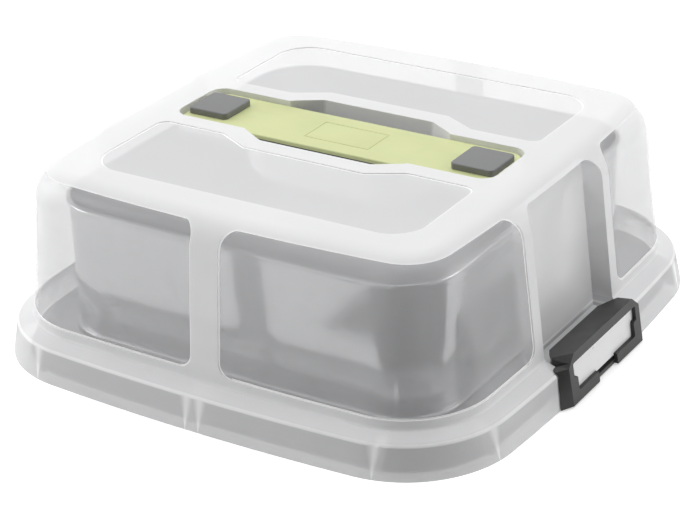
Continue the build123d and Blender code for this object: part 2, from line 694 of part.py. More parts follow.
# Latch lever, a channel of sheet whose free end turns outwards
bail_out = pin_out - BAIL_DROP
bail_x = LATCH_PIN_X + BAIL_ARM
flange_out = bail_out - BAIL_WIRE - LEVER_FLANGE_LOW
web_out = pin_out + LEVER_WEB
lever_end = LATCH_PIN_X - LEVER_HEAD + LEVER_LENGTH
tip_start = lever_end - LEVER_TIP_LENGTH
flange_end = bail_x + LEVER_FLANGE_LENGTH
lever_low_z = LATCH_MID_Z - LEVER_HALF_HEIGHT
with BuildPart() as latch_lever:
    with BuildSketch(Plane.XY.offset(lever_low_z)):
        with BuildLine():
            Polyline(
                (LATCH_PIN_X - LEVER_HEAD, web_out),
                (tip_start, web_out),
                (lever_end, web_out + LEVER_TIP_RISE),
                (lever_end, web_out + LEVER_TIP_RISE + LEVER_SHEET),
                (tip_start, web_out + LEVER_SHEET),
                (LATCH_PIN_X - LEVER_HEAD, web_out + LEVER_SHEET),
                close=True,
            )
        make_face()
    extrude(amount=2 * LEVER_HALF_HEIGHT)
    for flange_low in (lever_low_z, LATCH_MID_Z + LEVER_HALF_HEIGHT - LEVER_SHEET):
        with BuildSketch(Plane.XY.offset(flange_low)):
            with BuildLine():
                Polyline(
                    (LATCH_PIN_X, flange_out),
                    (bail_x + BAIL_DROP, flange_out),
                    (flange_end, web_out),
                    (LATCH_PIN_X, web_out),
                    close=True,
                )
            make_face()
            with Locations((LATCH_PIN_X - LEVER_HEAD / 2, (pin_out + web_out) / 2)):
                Rectangle(LEVER_HEAD, LEVER_WEB)
            with Locations((LATCH_PIN_X, pin_out)):
                Circle(LEVER_HEAD)
            with Locations((LATCH_PIN_X, pin_out)):
                Circle(LATCH_PIN_RADIUS + PIN_FIT, mode=Mode.SUBTRACT)
            with Locations((bail_x, bail_out)):
                Circle(BAIL_WIRE + PIN_FIT, mode=Mode.SUBTRACT)
        extrude(amount=LEVER_SHEET)

# Latch bail, a wire loop whose ends turn in through the lever
bail_end_x = bail_x - BAIL_LENGTH
with BuildPart() as latch_bail:
    with BuildLine(back_plane(bail_out)) as wire_path:
        FilletPolyline(
            (bail_x, LATCH_MID_Z - BAIL_HALF_HEIGHT + BAIL_FOOT),
            (bail_x, LATCH_MID_Z - BAIL_HALF_HEIGHT),
            (bail_end_x, LATCH_MID_Z - BAIL_HALF_HEIGHT),
            (bail_end_x, LATCH_MID_Z + BAIL_HALF_HEIGHT),
            (bail_x, LATCH_MID_Z + BAIL_HALF_HEIGHT),
            (bail_x, LATCH_MID_Z + BAIL_HALF_HEIGHT - BAIL_FOOT),
            radius=BAIL_BEND,
        )
    with BuildSketch(Plane(origin=wire_path.wire() @ 0, z_dir=wire_path.wire() % 0)):
        Circle(BAIL_WIRE)
    sweep()

# Catch plate, with a hook over the far end of the bail
hook_root_x = bail_end_x + BAIL_WIRE + HOOK_SLACK
hook_under = bail_out + BAIL_WIRE + HOOK_HEADROOM
hook_tip_x = bail_end_x - HOOK_LIP
with BuildPart() as catch_plate:
    with BuildSketch(back_plane(ring_face)):
        with Locations((CATCH_X + CATCH_LENGTH / 2, LATCH_MID_Z)):
            RectangleRounded(CATCH_LENGTH, 2 * PLATE_HALF_HEIGHT, PLATE_CORNER)
    extrude(amount=LATCH_SHEET + RING_SHEET / 2)
    with BuildSketch(Plane.XY.offset(LATCH_MID_Z - HOOK_HALF_HEIGHT)):
        with BuildLine():
            Polyline(
                (hook_root_x, RING_HALF),
                (hook_root_x + HOOK_ROOT, RING_HALF),
                (hook_root_x + HOOK_ROOT, hook_under + LATCH_SHEET),
                (hook_tip_x, hook_under + LATCH_SHEET),
                (hook_tip_x, hook_under),
                (hook_root_x, hook_under),
                close=True,
            )
        make_face()
    extrude(amount=2 * HOOK_HALF_HEIGHT)
    add(ring_block.part, mode=Mode.SUBTRACT)
    add(rivet_holes(catch_rivet_spots), mode=Mode.SUBTRACT)

with BuildPart() as catch_rivets:
    add(rivets(catch_rivet_spots))


def clip_form(inset):
    """Return the right clip's outer form, with its top, front and sides moved inwards by inset."""
    side_corner = (CLIP_SIDE_X, CLIP_BODY_HALF)
    with BuildPart() as form:
        for height, front_x, front_half, spread in (
            (CLIP_BOTTOM_Z, CLIP_FRONT_FOOT, CLIP_FRONT_HALF, CLIP_FLARE_FOOT),
            (CLIP_TOP_Z, CLIP_FRONT_HEAD, CLIP_SHOULDER_HALF, CLIP_FLARE_HEAD),
        ):
            half, back = front_half - inset, front_x - CLIP_FLARE_DEPTH
            with BuildSketch(Plane.XY.offset(height)):
                with BuildLine():
                    Polyline(
                        (front_x, -half), (front_x, half), (back, half + spread), (back, -half - spread),
                        close=True,
                    )
                make_face()
        loft(ruled=True)
        with BuildSketch(Plane.XY.offset(CLIP_BOTTOM_Z)):
            with BuildLine():
                Polyline(
                    (CLIP_BACK_X, CLIP_BACK_HALF),
                    side_corner,
                    (CLIP_FRONT_HEAD, CLIP_BODY_HALF),
                    (CLIP_FRONT_HEAD, -CLIP_BODY_HALF),
                    (CLIP_SIDE_X, -CLIP_BODY_HALF),
                    (CLIP_BACK_X, -CLIP_BACK_HALF),
                    close=True,
                )
            make_face()
            if inset:
                offset(amount=-inset, kind=Kind.INTERSECTION)
                with Locations((CLIP_BACK_X, 0)):
                    Rectangle(2 * EAR_RADIUS, 2 * (CLIP_BACK_HALF - inset))
        extrude(amount=CLIP_TOP_Z)
        with BuildSketch(Plane.XZ):
            with BuildLine():
                rise = (CLIP_TOP_Z - CLIP_BACK_TOP_Z) / (CLIP_FRONT_HEAD - CLIP_BACK_X)
                lean = (CLIP_FRONT_FOOT - CLIP_FRONT_HEAD) / (CLIP_TOP_Z - CLIP_BOTTOM_Z)
                Polyline(
                    (0, CLIP_BACK_TOP_Z - rise * CLIP_BACK_X),
                    (CLIP_FRONT_HEAD, CLIP_TOP_Z),
                    (CLIP_FRONT_HEAD + lean * FAR, CLIP_TOP_Z - FAR),
                    (0, CLIP_TOP_Z - FAR),
                    close=True,
                )
            make_face()
            if inset:
                offset(amount=-inset, kind=Kind.INTERSECTION)
        extrude(amount=FAR, both=True, mode=Mode.INTERSECT)
        with BuildSketch(Plane.YZ):
            with BuildLine():
                Polyline(
                    (-CLIP_WING_HALF - CLIP_FLARE_DEPTH, -CLIP_TOP_Z),
                    (-CLIP_WING_HALF, CLIP_WING_Z),
                    (-CLIP_SHOULDER_HALF, CLIP_SHOULDER_Z),
                    (-CLIP_TOP_HALF, CLIP_TOP_Z),
                    (CLIP_TOP_HALF, CLIP_TOP_Z),
                    (CLIP_SHOULDER_HALF, CLIP_SHOULDER_Z),
                    (CLIP_WING_HALF, CLIP_WING_Z),
                    (CLIP_WING_HALF + CLIP_FLARE_DEPTH, -CLIP_TOP_Z),
                    close=True,
                )
            make_face()
            if inset:
                offset(amount=-inset, kind=Kind.INTERSECTION)
        extrude(amount=FAR, mode=Mode.INTERSECT)
    return form.part


def clip_window(grow):
    """Draw the clip's window, seen along X, with grow added all round, in the active sketch."""
    low_half = CLIP_WINDOW_HALF - CLIP_WINDOW_STEP + grow
    high_half = CLIP_WINDOW_HALF + grow
    with BuildLine() as outline:
        Polyline(
            (-low_half, CLIP_WINDOW_BOTTOM_Z - grow),
            (low_half, CLIP_WINDOW_BOTTOM_Z - grow),
            (low_half, CLIP_WINDOW_STEP_Z - grow),
            (high_half, CLIP_WINDOW_STEP_Z - grow),
            (high_half, CLIP_WINDOW_TOP_Z + grow),
            (-high_half, CLIP_WINDOW_TOP_Z + grow),
            (-high_half, CLIP_WINDOW_STEP_Z - grow),
            (-low_half, CLIP_WINDOW_STEP_Z - grow),
            close=True,
        )
    make_face(outline.edges())
    fillet(vertices(), CLIP_WINDOW_CORNER)


# Clip shell on the right, then its mirror image on the left
with BuildPart() as skirt_space:
    add(cover_form(-CLIP_GAP))
    add(recess_form(-CLIP_GAP), mode=Mode.SUBTRACT)

with BuildPart() as clip_lugs:
    for lug_low in (-LUG_OFFSET - LUG_THICKNESS / 2, LUG_OFFSET - LUG_THICKNESS / 2):
        with BuildSketch(Plane(origin=(0, lug_low, 0), x_dir=(1, 0, 0), z_dir=(0, -1, 0))):
            with Locations((CLIP_PIN_X, CLIP_PIN_Z)):
                Circle(EAR_RADIUS)
            with Locations((CLIP_PIN_X - EAR_RADIUS + LUG_REACH / 2, (CLIP_PIN_Z + CLIP_TOP_Z) / 2)):
                Rectangle(LUG_REACH, CLIP_TOP_Z - CLIP_PIN_Z)
        extrude(amount=-LUG_THICKNESS)
    add(clip_form(0), mode=Mode.INTERSECT)

# The clip is cut back where it would meet the cover at its open angle
clip_axis = Axis((CLIP_PIN_X, 0, CLIP_PIN_Z), (0, 1, 0))
with BuildPart() as clip_right:
    add(clip_form(0))
    add(clip_form(CLIP_SHELL), mode=Mode.SUBTRACT)
    add(skirt_space.part, mode=Mode.SUBTRACT)
    add(skirt_space.part.rotate(clip_axis, CLIP_OPEN_ANGLE), mode=Mode.SUBTRACT)
    with Locations((CLIP_PIN_X - EAR_RADIUS, 0, CLIP_PIN_Z / 2)):
        Box(2 * EAR_RADIUS, FAR, CLIP_PIN_Z, mode=Mode.SUBTRACT)
    ear_space = EAR_RADIUS + EAR_RELIEF
    slot_height = CLIP_PIN_Z + ear_space - RECESS_FLOOR_Z
    with Locations(*((CLIP_PIN_X, side * EAR_OFFSET, RECESS_FLOOR_Z + slot_height / 2) for side in (-1, 1))):
        Box(4 * ear_space, EAR_THICKNESS + 2 * EAR_RELIEF, slot_height, mode=Mode.SUBTRACT)
    add(clip_lugs.part)
    with Locations((CLIP_PIN_X, 0, CLIP_PIN_Z)):
        Cylinder(CLIP_PIN_RADIUS, FAR, rotation=(90, 0, 0), mode=Mode.SUBTRACT)
    with BuildSketch(Plane.YZ.offset(CLIP_SIDE_X)):
        clip_window(0)
        with Locations((0, CLIP_WINDOW_BOTTOM_Z / 2)):
            Rectangle(2 * CLIP_NOTCH_HALF, CLIP_WINDOW_BOTTOM_Z + OVERCUT)
    extrude(amount=FAR, mode=Mode.SUBTRACT)
    lip_end = CLIP_FRONT_FOOT - CLIP_SHELL
    with Locations(((CLIP_LIP_X + lip_end) / 2, 0, CLIP_BOTTOM_Z + CLIP_LIP_HEIGHT / 2)):
        Box(lip_end - CLIP_LIP_X, 2 * CLIP_LIP_HALF, CLIP_LIP_HEIGHT)

with BuildPart() as clip_left:
    mirror(clip_right.part, about=Plane.YZ)

# Clip insert, the plate behind the clip's window
with BuildPart() as clip_insert_right:
    with BuildSketch(Plane.YZ.offset(CLIP_SIDE_X)):
        clip_window(CLIP_INSERT_LAP)
    extrude(amount=FAR)
    add(clip_form(CLIP_SHELL), mode=Mode.INTERSECT)
    add(clip_form(CLIP_SHELL + CLIP_INSERT_SHEET), mode=Mode.SUBTRACT)
    with Locations((CLIP_FRONT_HEAD, 0, (CLIP_WINDOW_BOTTOM_Z + CLIP_WINDOW_TOP_Z) / 2)):
        Box(2 * CLIP_SHELL + 2 * CLIP_INSERT_SHEET, FAR, FAR, mode=Mode.INTERSECT)

with BuildPart() as clip_insert_left:
    mirror(clip_insert_right.part, about=Plane.YZ)

# Clip pins, plain pins along Y
clip_pin_length = 2 * LUG_OFFSET + LUG_THICKNESS
with BuildPart() as clip_pin_right:
    with Locations((CLIP_PIN_X, 0, CLIP_PIN_Z)):
        Cylinder(CLIP_PIN_RADIUS, clip_pin_length, rotation=(90, 0, 0))

with BuildPart() as clip_pin_left:
    with Locations((-CLIP_PIN_X, 0, CLIP_PIN_Z)):
        Cylinder(CLIP_PIN_RADIUS, clip_pin_length, rotation=(90, 0, 0))

# Name and write every piece
cover_skirt.part.label = "cover_skirt"
export_step(cover_skirt.part, "parts/cover_skirt.step")
cover_shoulder.part.label = "cover_shoulder"
export_step(cover_shoulder.part, "parts/cover_shoulder.step")
cover_walls.part.label = "cover_walls"
export_step(cover_walls.part, "parts/cover_walls.step")
cover_top.part.label = "cover_top"
export_step(cover_top.part, "parts/cover_top.step")
handle_core.part.label = "handle_core"
export_step(handle_core.part, "parts/handle_core.step")
handle_strap.part.label = "handle_strap"
export_step(handle_strap.part, "parts/handle_strap.step")
end_cap_left.part.label = "end_cap_left"
export_step(end_cap_left.part, "parts/end_cap_left.step")
end_cap_right.part.label = "end_cap_right"
export_step(end_cap_right.part, "parts/end_cap_right.step")
clip_left.part.label = "clip_left"
export_step(clip_left.part, "parts/clip_left.step")
clip_right.part.label = "clip_right"
export_step(clip_right.part, "parts/clip_right.step")
clip_insert_left.part.label = "clip_insert_left"
export_step(clip_insert_left.part, "parts/clip_insert_left.step")
clip_insert_right.part.label = "clip_insert_right"
export_step(clip_insert_right.part, "parts/clip_insert_right.step")
clip_pin_left.part.label = "clip_pin_left"
export_step(clip_pin_left.part, "parts/clip_pin_left.step")
clip_pin_right.part.label = "clip_pin_right"
export_step(clip_pin_right.part, "parts/clip_pin_right.step")
base_plate.part.label = "base_plate"
export_step(base_plate.part, "parts/base_plate.step")
pan_ring.part.label = "pan_ring"
export_step(pan_ring.part, "parts/pan_ring.step")
seam_tongue.part.label = "seam_tongue"
export_step(seam_tongue.part, "parts/seam_tongue.step")
latch_bracket.part.label = "latch_bracket"
export_step(latch_bracket.part, "parts/latch_bracket.step")
bracket_rivets.part.label = "bracket_rivets"
export_step(bracket_rivets.part, "parts/bracket_rivets.step")
latch_pin.part.label = "latch_pin"
export_step(latch_pin.part, "parts/latch_pin.step")
latch_lever.part.label = "latch_lever"
export_step(latch_lever.part, "parts/latch_lever.step")
latch_bail.part.label = "latch_bail"
export_step(latch_bail.part, "parts/latch_bail.step")
catch_plate.part.label = "catch_plate"
export_step(catch_plate.part, "parts/catch_plate.step")
catch_rivets.part.label = "catch_rivets"
export_step(catch_rivets.part, "parts/catch_rivets.step")
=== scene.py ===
"""Dresses a square springform pan that stands on its serving base, under a translucent carrying cover.

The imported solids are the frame. One closed moulding stands for the cover's four solids, and copies with
rounded edges stand for the strap, its bar and the caps. The clips, the base and the ring with its latch are
the solids themselves, each with its finish. The script also sets the floor, the lights and the camera.
"""

import logging
import math
from dataclasses import dataclass
from enum import Enum
from typing import Callable, Optional, Union

import bmesh
import bpy
from mathutils import Matrix, Vector


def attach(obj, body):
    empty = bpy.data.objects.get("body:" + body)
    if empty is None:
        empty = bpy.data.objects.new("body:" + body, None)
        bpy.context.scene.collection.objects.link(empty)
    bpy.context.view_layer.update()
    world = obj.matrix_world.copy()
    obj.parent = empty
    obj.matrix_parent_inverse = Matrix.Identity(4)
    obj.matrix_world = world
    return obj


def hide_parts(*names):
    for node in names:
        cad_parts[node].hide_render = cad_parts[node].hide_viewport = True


LOG = logging.getLogger("springform_pan")
MM = 0.001
WELD = 0.01 * MM  # corners within this distance of each other become one
FLAT_ANGLE = math.radians(0.5)  # faces that meet at less than this are one flat face
ROUNDED_ANGLE = math.radians(24.0)  # an edge is rounded where its faces meet at more than this
SHADED_ANGLE = math.radians(35.0)  # a rounded copy keeps a hard edge past this
NOISE_SPAN = (0.25, 0.75)  # nearly all of a noise pattern lies between these
RAMP_SPAN = (0.3, 0.7)  # a clouded colour is darkest below the first and whole above the second

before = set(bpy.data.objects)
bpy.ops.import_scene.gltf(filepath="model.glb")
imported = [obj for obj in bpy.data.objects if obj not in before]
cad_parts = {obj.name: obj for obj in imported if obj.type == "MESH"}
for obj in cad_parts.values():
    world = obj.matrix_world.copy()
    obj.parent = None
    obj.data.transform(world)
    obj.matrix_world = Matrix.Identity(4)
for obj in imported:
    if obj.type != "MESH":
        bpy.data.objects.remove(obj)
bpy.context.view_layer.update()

Span = tuple[float, float]
Colour = tuple[float, float, float]
Spot = tuple[float, float, float]


class Side(Enum):
    """The two X sides of the object, in the words that node names have for them."""

    LEFT = "left"
    RIGHT = "right"


class Skin(Enum):
    """The material slots of the cover's moulding, in slot order."""

    FROSTED = 0
    CLEAR = 1
    INSIDE = 2
    RECESS = 3
    WINDOW = 4
    SKIRT_PAINTED_LIGHT = 5
    THICK = 6
    EDGE = 7


def deselect_everything() -> None:
    """Leave edit mode and clear the selection."""
    if bpy.context.object is not None and bpy.context.object.mode != "OBJECT":
        bpy.ops.object.mode_set(mode="OBJECT")
    bpy.ops.object.select_all(action="DESELECT")


def make_active(piece: bpy.types.Object) -> None:
    """Select one object alone and make it the active one.

    Args:
        piece: The object that the next operators act on.
    """
    deselect_everything()
    piece.select_set(True)
    bpy.context.view_layer.objects.active = piece


def apply_modifier(piece: bpy.types.Object, kind: str, **settings: object) -> None:
    """Add a modifier, set it and apply it.

    Args:
        piece: The object that gets the modifier.
        kind: Blender's name for the modifier's type.
        **settings: The modifier's properties.
    """
    make_active(piece)
    modifier = piece.modifiers.new(kind.title(), kind)
    for name, value in settings.items():
        setattr(modifier, name, value)
    bpy.ops.object.modifier_apply(modifier=modifier.name)


def smooth(piece: bpy.types.Object, angle: float) -> None:
    """Shade a piece smooth, with a hard edge wherever its faces meet at more than an angle in radians."""
    make_active(piece)
    bpy.ops.object.shade_smooth_by_angle(angle=angle)


def copy_of_solid(node: str, name: str) -> bpy.types.Object:
    """Copy a solid's mesh into a new object, welded so that its faces share their corners.

    Args:
        node: The solid's node name.
        name: The new object's name.

    Returns:
        The new object, with its place in its mesh.
    """
    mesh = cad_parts[node].data.copy()
    mesh.materials.clear()
    piece = bpy.data.objects.new(name, mesh)
    bpy.context.scene.collection.objects.link(piece)
    make_active(piece)
    bpy.ops.object.mode_set(mode="EDIT")
    bpy.ops.mesh.select_all(action="SELECT")
    bpy.ops.mesh.remove_doubles(threshold=WELD)
    bpy.ops.mesh.customdata_custom_splitnormals_clear()
    bpy.ops.object.mode_set(mode="OBJECT")
    return piece


def unite(piece: bpy.types.Object, other: bpy.types.Object) -> None:
    """Join another closed piece to one, so that both are closed as one, and delete the other."""
    apply_modifier(piece, "BOOLEAN", operation="UNION", solver="EXACT", object=other)
    bpy.data.objects.remove(other)


def spread(
    start: bmesh.types.BMFace,
    passes: Callable[[bmesh.types.BMEdge, bmesh.types.BMFace], bool],
) -> set[int]:
    """Return the indices of the faces reached from one face.

    Args:
        start: The face to start from.
        passes: Whether the spread goes over an edge onto a face.

    Returns:
        The indices of the faces reached, the first one included.
    """
    found, todo = {start.index}, [start]
    while todo:
        for edge in todo.pop().edges:
            for other in edge.link_faces:
                if other.index not in found and passes(edge, other):
                    found.add(other.index)
                    todo.append(other)
    return found


def rounded_copy(node: str, name: str, radius: float) -> bpy.types.Object:
    """Copy a solid, round its sharp edges and let the copy stand for the solid.

    Args:
        node: The solid's node name.
        name: The new object's name.
        radius: The edges' radius, in metres.

    Returns:
        The rounded copy.
    """
    piece = copy_of_solid(node, name)
    bpy.ops.object.mode_set(mode="EDIT")
    bpy.ops.mesh.select_all(action="SELECT")
    bpy.ops.mesh.dissolve_limited(angle_limit=FLAT_ANGLE)
    bpy.ops.object.mode_set(mode="OBJECT")
    apply_modifier(
        piece, "BEVEL", width=radius, segments=3, limit_method="ANGLE", angle_limit=ROUNDED_ANGLE,
        use_clamp_overlap=True, harden_normals=False,
    )
    smooth(piece, SHADED_ANGLE)
    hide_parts(node)
    return piece


class Nodes:
    """Short calls for the nodes that the finishes and the studio use, in one node tree."""

    def __init__(self, tree: bpy.types.NodeTree) -> None:
        """Work in a tree."""
        self.tree = tree

    def carried(
        self, value: bpy.types.NodeSocket, source: Span, target: Span, eased: bool = False,
    ) -> bpy.types.NodeSocket:
        """Return a value carried from one span to another, and held at its ends.

        Args:
            value: The value.
            source: The span that it is read in.
            target: The span that it is carried to.
            eased: Whether it starts and ends softly.

        Returns:
            The carried value's socket.
        """
        node = self.tree.nodes.new("ShaderNodeMapRange")
        if eased:
            node.interpolation_type = "SMOOTHSTEP"
        node.inputs["From Min"].default_value, node.inputs["From Max"].default_value = source
        node.inputs["To Min"].default_value, node.inputs["To Max"].default_value = target
        self.tree.links.new(value, node.inputs["Value"])
        return node.outputs["Result"]

    def maths(
        self, operation: str, first: bpy.types.NodeSocket, second: Union[bpy.types.NodeSocket, float] = 0.0,
    ) -> bpy.types.NodeSocket:
        """Return the outcome of an operation.

        Args:
            operation: Blender's name for the operation.
            first: The value that it starts from.
            second: The other value, as a socket or a number, for an operation on two.

        Returns:
            The outcome's socket.
        """
        node = self.tree.nodes.new("ShaderNodeMath")
        node.operation = operation
        self.tree.links.new(first, node.inputs[0])
        if isinstance(second, bpy.types.NodeSocket):
            self.tree.links.new(second, node.inputs[1])
        else:
            node.inputs[1].default_value = second
        return node.outputs["Value"]


class Recipe(Nodes):
    """A material's node tree in the making."""

    def __init__(self, name: str) -> None:
        """Start a material that has only its surface shader and its output.

        Args:
            name: The material's name.
        """
        self.material = bpy.data.materials.new(name)
        self.material.use_nodes = True
        super().__init__(self.material.node_tree)
        self.shader = self.tree.nodes["Principled BSDF"]
        self.place = self.tree.nodes.new("ShaderNodeTexCoord").outputs["Object"]

    def constant(self, **values: object) -> None:
        """Set the surface shader's own sockets, with underscores for the spaces in their names."""
        for name, value in values.items():
            self.shader.inputs[name.replace("_", " ")].default_value = value

    def feed(self, socket: str, value: bpy.types.NodeSocket) -> None:
        """Link a value to one of the surface shader's sockets."""
        self.tree.links.new(value, self.shader.inputs[socket])

    def stretched(self, scale: Spot) -> bpy.types.NodeSocket:
        """Return the object's coordinates stretched along its axes.

        Args:
            scale: The stretch along each axis.

        Returns:
            The coordinates' socket.
        """
        mapping = self.tree.nodes.new("ShaderNodeMapping")
        mapping.inputs["Scale"].default_value = scale
        self.tree.links.new(self.place, mapping.inputs["Vector"])
        return mapping.outputs["Vector"]

    def noise(
        self, scale: float, detail: float = 3.0, roughness: float = 0.55,
        place: Optional[bpy.types.NodeSocket] = None,
    ) -> bpy.types.NodeSocket:
        """Return a noise pattern's value.

        Args:
            scale: The pattern's features to the metre.
            detail: The number of finer layers.
            roughness: How strong the finer layers are.
            place: The coordinates, or None for the object's own.

        Returns:
            The pattern's factor socket.
        """
        node = self.tree.nodes.new("ShaderNodeTexNoise")
        node.inputs["Scale"].default_value = scale
        node.inputs["Detail"].default_value = detail
        node.inputs["Roughness"].default_value = roughness
        self.tree.links.new(place or self.place, node.inputs["Vector"])
        return node.outputs["Fac"]

    def varied(self, pattern: bpy.types.NodeSocket, value: float, shares: Span) -> bpy.types.NodeSocket:
        """Return a value that a noise pattern varies from one share of it to another."""
        low, high = shares
        return self.carried(pattern, NOISE_SPAN, (value * low, value * high))

    def clouded(self, pattern: bpy.types.NodeSocket, colour: Colour, share: float) -> bpy.types.NodeSocket:
        """Return a colour that a noise pattern darkens down to a share of it."""
        darkest = tuple(channel * share for channel in colour)
        return self.ramp(pattern, (RAMP_SPAN[0], darkest), (RAMP_SPAN[1], colour))

    def ramp(self, value: bpy.types.NodeSocket, *stops: tuple[float, Colour]) -> bpy.types.NodeSocket:
        """Return a colour that goes from stop to stop as a value rises.

        Args:
            value: The value.
            *stops: Each stop's value and colour, from low to high, two or more.

        Returns:
            The colour's socket.
        """
        node = self.tree.nodes.new("ShaderNodeValToRGB")
        elements = node.color_ramp.elements
        for index, (position, colour) in enumerate((stops[0], stops[-1])):
            elements[index].position = position
            elements[index].color = (*colour, 1.0)
        for position, colour in stops[1:-1]:
            elements.new(position).color = (*colour, 1.0)
        self.tree.links.new(value, node.inputs["Fac"])
        return node.outputs["Color"]

    def bump(self, pattern: bpy.types.NodeSocket, height: float, strength: float) -> None:
        """Raise the surface by a pattern.

        Args:
            pattern: The pattern.
            height: The relief from low to high, in metres.
            strength: How much of it the shading shows.
        """
        node = self.tree.nodes.new("ShaderNodeBump")
        node.inputs["Distance"].default_value = height
        node.inputs["Strength"].default_value = strength
        self.tree.links.new(pattern, node.inputs["Height"])
        earlier = self.shader.inputs["Normal"].links
        if earlier:
            self.tree.links.new(earlier[0].from_socket, node.inputs["Normal"])
        self.tree.links.new(node.outputs["Normal"], self.shader.inputs["Normal"])


@dataclass(frozen=True)
class Translucent:
    """Thin moulded plastic that lets what is behind it show through a milky haze.

    The haze is its opacity. Grain, patches, waves and clouds are patterns, given by their features to the
    metre, and their heights are in metres. What is shown of a height is a share of it.
    """

    name: str
    colour: Colour
    haze: float
    roughness: float
    grain: float
    grain_height: float
    gloss: float = 0.5
    ior: float = 1.49
    patches: float = 60.0
    patch_shares: Span = (0.85, 1.15)
    grain_shown: float = 0.8
    waves: float = 9.0
    wave_height: float = 0.25 * MM
    wave_shown: float = 0.25
    clouds: float = 14.0
    cloud_share: float = 0.975

    def make(self) -> bpy.types.Material:
        """Make the material.

        Returns:
            The material.
        """
        recipe = Recipe(self.name)
        recipe.constant(Alpha=self.haze, IOR=self.ior, Specular_IOR_Level=self.gloss)
        recipe.feed("Base Color", self.tint(recipe))
        patches = recipe.noise(self.patches)
        recipe.feed("Roughness", recipe.varied(patches, self.roughness, self.patch_shares))
        grain = recipe.noise(self.grain, detail=2.0, roughness=0.6)
        recipe.bump(grain, self.grain_height, self.grain_shown)
        recipe.bump(recipe.noise(self.waves, detail=1.0), self.wave_height, self.wave_shown)
        return recipe.material

    def tint(self, recipe: Recipe) -> bpy.types.NodeSocket:
        """Return the plastic's faintly clouded colour."""
        return recipe.clouded(recipe.noise(self.clouds, detail=2.0), self.colour, self.cloud_share)


@dataclass(frozen=True)
class RibbedPlastic(Translucent):
    """Translucent skirt plastic, with painted light above and along its fold and pale streaks over the ribs
    behind it.

    The ribs' places are from the object's middle, and a streak's half width is the flare times the height.
    The fold, with its painted highlight, is at a height and has a half width, and its core is the share of
    that which is wholly pale.
    """

    # painted light: the shoulder above the fold is lit paler than the skirt below it
    lit_shoulder_colour: Colour = (0.82, 0.822, 0.83)
    lit_shoulder_stop: float = 0.5
    # the painted highlight's colour, which the streaks over the ribs share
    highlight_and_rib_colour: Colour = (1.0, 1.0, 1.0)
    front_ribs: tuple[float, ...] = (4.2 * MM, 107.0 * MM)
    side_ribs: tuple[float, ...] = (107.0 * MM,)
    flare: float = 0.3
    fold: float = 18.9 * MM
    fold_half: float = 1.3 * MM
    fold_core: float = 0.3

    def tint(self, recipe: Recipe) -> bpy.types.NodeSocket:
        """Return the colour: plain, then painted light above the fold, then a painted highlight on the fold
        and pale over the ribs.

        Args:
            recipe: The material in the making.

        Returns:
            The colour's socket.
        """
        axes = recipe.tree.nodes.new("ShaderNodeSeparateXYZ")
        recipe.tree.links.new(recipe.place, axes.inputs["Vector"])
        height = axes.outputs["Z"]
        above_fold = (self.fold, self.fold + self.fold_half)
        below = recipe.carried(height, above_fold, (1.0, 0.0), eased=True)
        # painted light on the shoulder, rising above the fold
        shoulder = recipe.carried(height, above_fold, (0.0, self.lit_shoulder_stop), eased=True)
        from_fold = recipe.maths("ABSOLUTE", recipe.maths("SUBTRACT", height, self.fold))
        fold_edge = (self.fold_core * self.fold_half, self.fold_half)
        # painted highlight along the fold
        fold_highlight = recipe.carried(from_fold, fold_edge, (1.0, 0.0), eased=True)
        slant = recipe.maths("DIVIDE", self.from_rib(recipe, axes), height)
        streak = recipe.carried(slant, (0.0, self.flare), (1.0, 0.0), eased=True)
        # the strongest of the streaks over the ribs, the painted highlight and the painted light
        pale = recipe.maths(
            "MAXIMUM", recipe.maths("MULTIPLY", streak, below), recipe.maths("MAXIMUM", fold_highlight, shoulder),
        )
        return recipe.ramp(
            pale, (0.0, self.colour), (self.lit_shoulder_stop, self.lit_shoulder_colour), (1.0, self.highlight_and_rib_colour),
        )

    def from_rib(self, recipe: Recipe, axes: bpy.types.Node) -> bpy.types.NodeSocket:
        """Return the distance across the skirt to the nearest rib.

        Args:
            recipe: The material in the making.
            axes: The node that holds the object's coordinates one by one.

        Returns:
            The distance's socket.
        """
        nearest = None
        for axis, ribs in (("X", self.front_ribs), ("Y", self.side_ribs)):
            across = recipe.maths("ABSOLUTE", axes.outputs[axis])
            for rib in ribs:
                off = recipe.maths("ABSOLUTE", recipe.maths("SUBTRACT", across, rib))
                nearest = off if nearest is None else recipe.maths("MINIMUM", nearest, off)
        return nearest


@dataclass(frozen=True)
class MouldedPlastic:
    """Solid satin plastic with a fine moulded grain and faint rubbed patches.

    Grain and patches are patterns, given by their features to the metre, and the grain's height is in metres.
    """

    name: str
    colour: Colour
    roughness: float
    grain: float = 2400.0
    grain_height: float = 0.02 * MM
    grain_shown: float = 0.7
    gloss: float = 0.5
    ior: float = 1.5
    patches: float = 35.0
    patch_share: float = 0.93
    roughness_shares: Span = (0.85, 1.15)

    def make(self) -> bpy.types.Material:
        """Make the material.

        Returns:
            The material.
        """
        recipe = Recipe(self.name)
        recipe.constant(IOR=self.ior, Specular_IOR_Level=self.gloss)
        worn = recipe.noise(self.patches, detail=4.0)
        recipe.feed("Base Color", recipe.clouded(worn, self.colour, self.patch_share))
        recipe.feed("Roughness", recipe.varied(worn, self.roughness, self.roughness_shares))
        grain = recipe.noise(self.grain, detail=2.0, roughness=0.6)
        recipe.bump(grain, self.grain_height, self.grain_shown)
        return recipe.material


